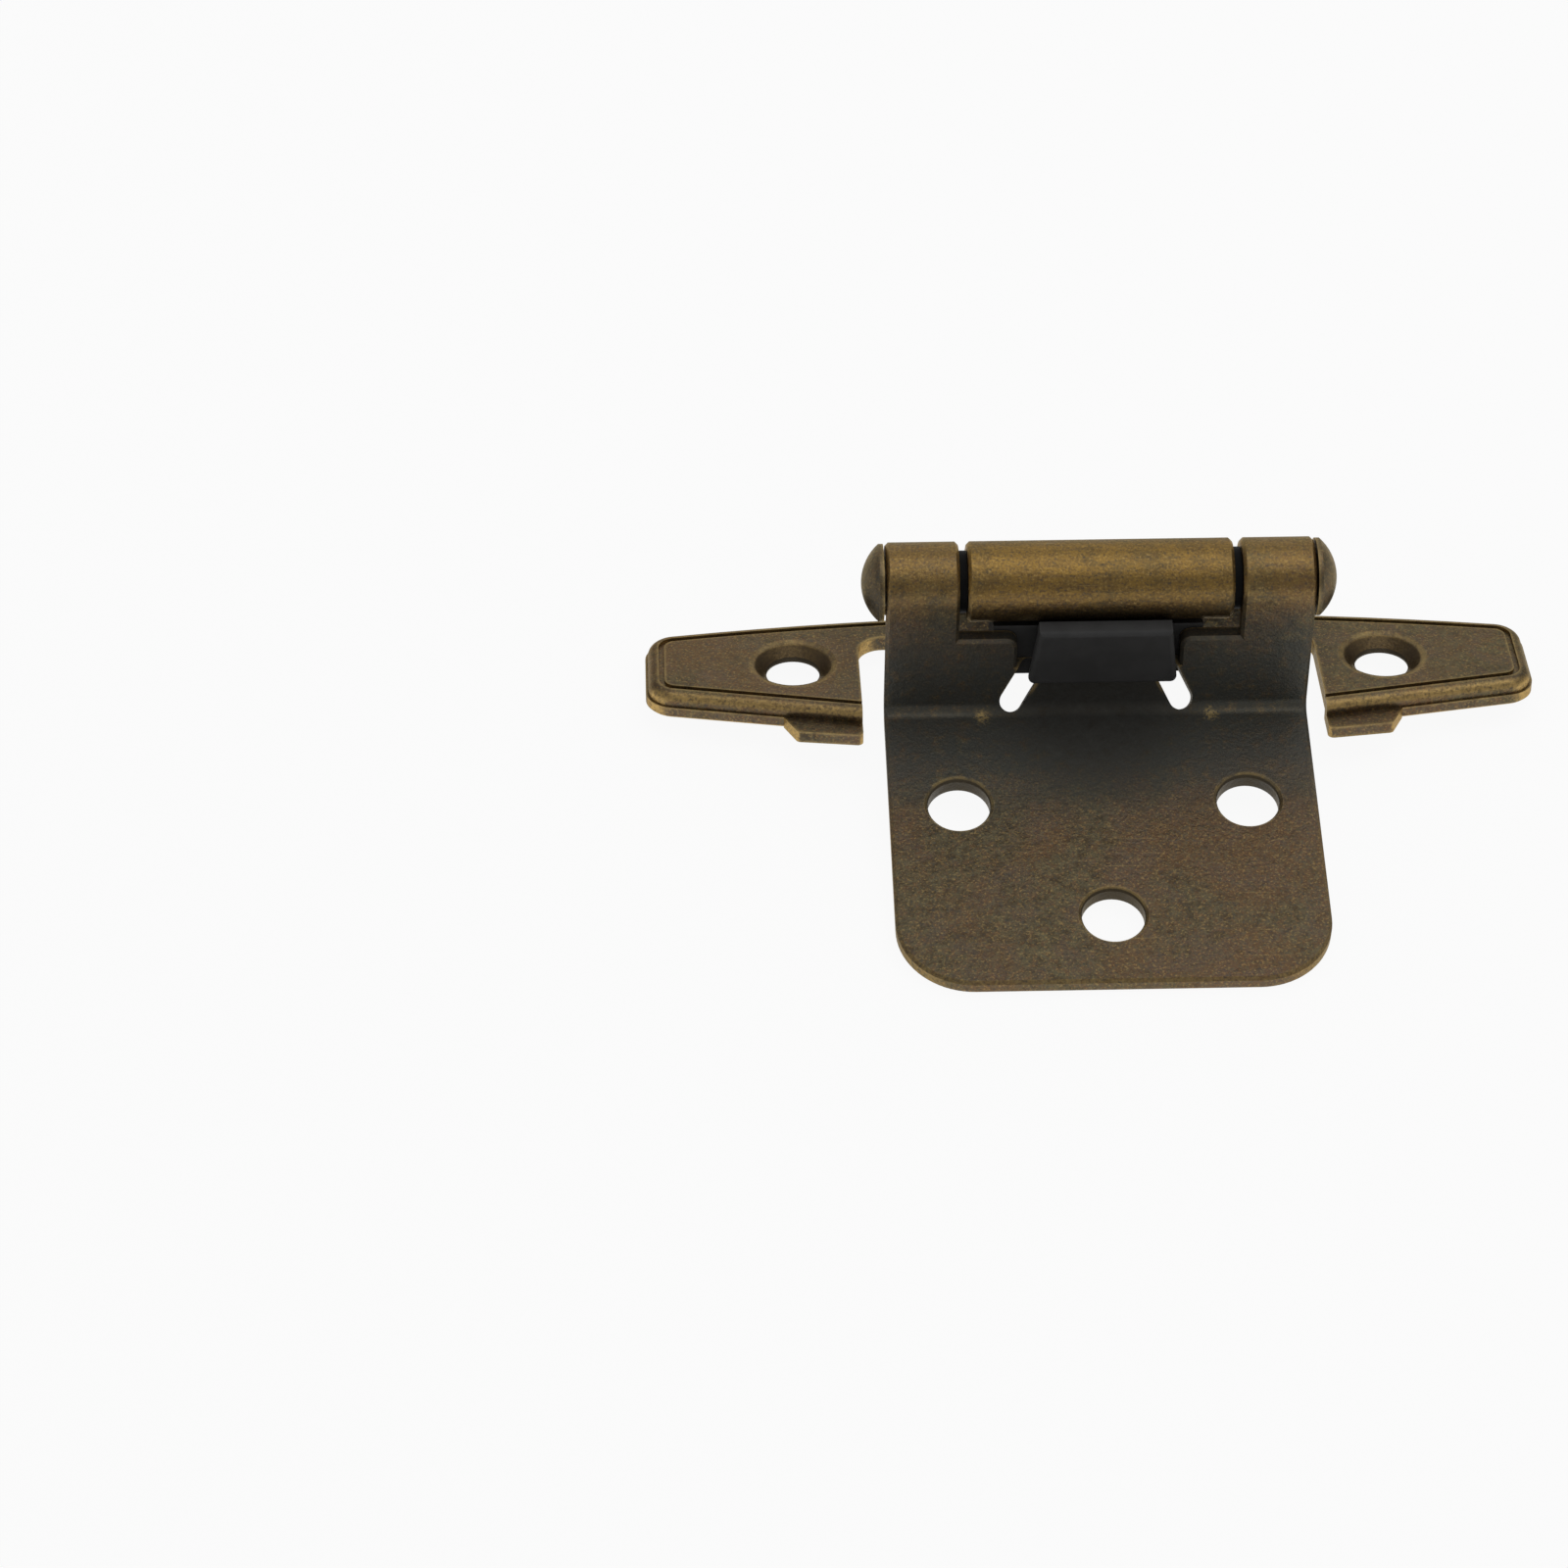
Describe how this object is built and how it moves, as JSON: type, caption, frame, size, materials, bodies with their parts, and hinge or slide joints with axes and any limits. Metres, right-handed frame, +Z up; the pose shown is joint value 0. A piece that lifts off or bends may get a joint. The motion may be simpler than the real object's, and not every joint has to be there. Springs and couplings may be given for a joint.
{
  "type": "self-closing overlay cabinet hinge",
  "caption": "Stamped cabinet hinge: a flat door leaf and a bowed frame leaf turn on a headed pin, with a moulded closer that holds the door shut.",
  "frame": {"origin": "under the middle of the bounding box, on the table", "axes": "+X along the pin, -Y towards the front edge of the door leaf, +Z up"},
  "size_m": [0.0698, 0.0406, 0.018],
  "materials": {
    "antique_brass": "antique brass plating over steel, dark brown with mottled olive and worn brassy edges, satin",
    "black_nylon": "moulded, matte black"
  },
  "bodies": {
    "frame": {"frame_leaf": "antique_brass"},
    "door": {"door_leaf": "antique_brass", "hinge_pin": "antique_brass", "left_spacer": "black_nylon", "right_spacer": "black_nylon", "closer_block": "black_nylon"}
  },
  "joints": [
    {"name": "hinge_turn", "type": "hinge", "parent": "frame", "child": "door", "pos_m": [0, 0.00935, 0.01492], "axis": [-1, 0, 0], "range_deg": [0, 180], "stiffness_Nm_per_rad": 0.01, "springref_deg": -85.94}
  ]
}
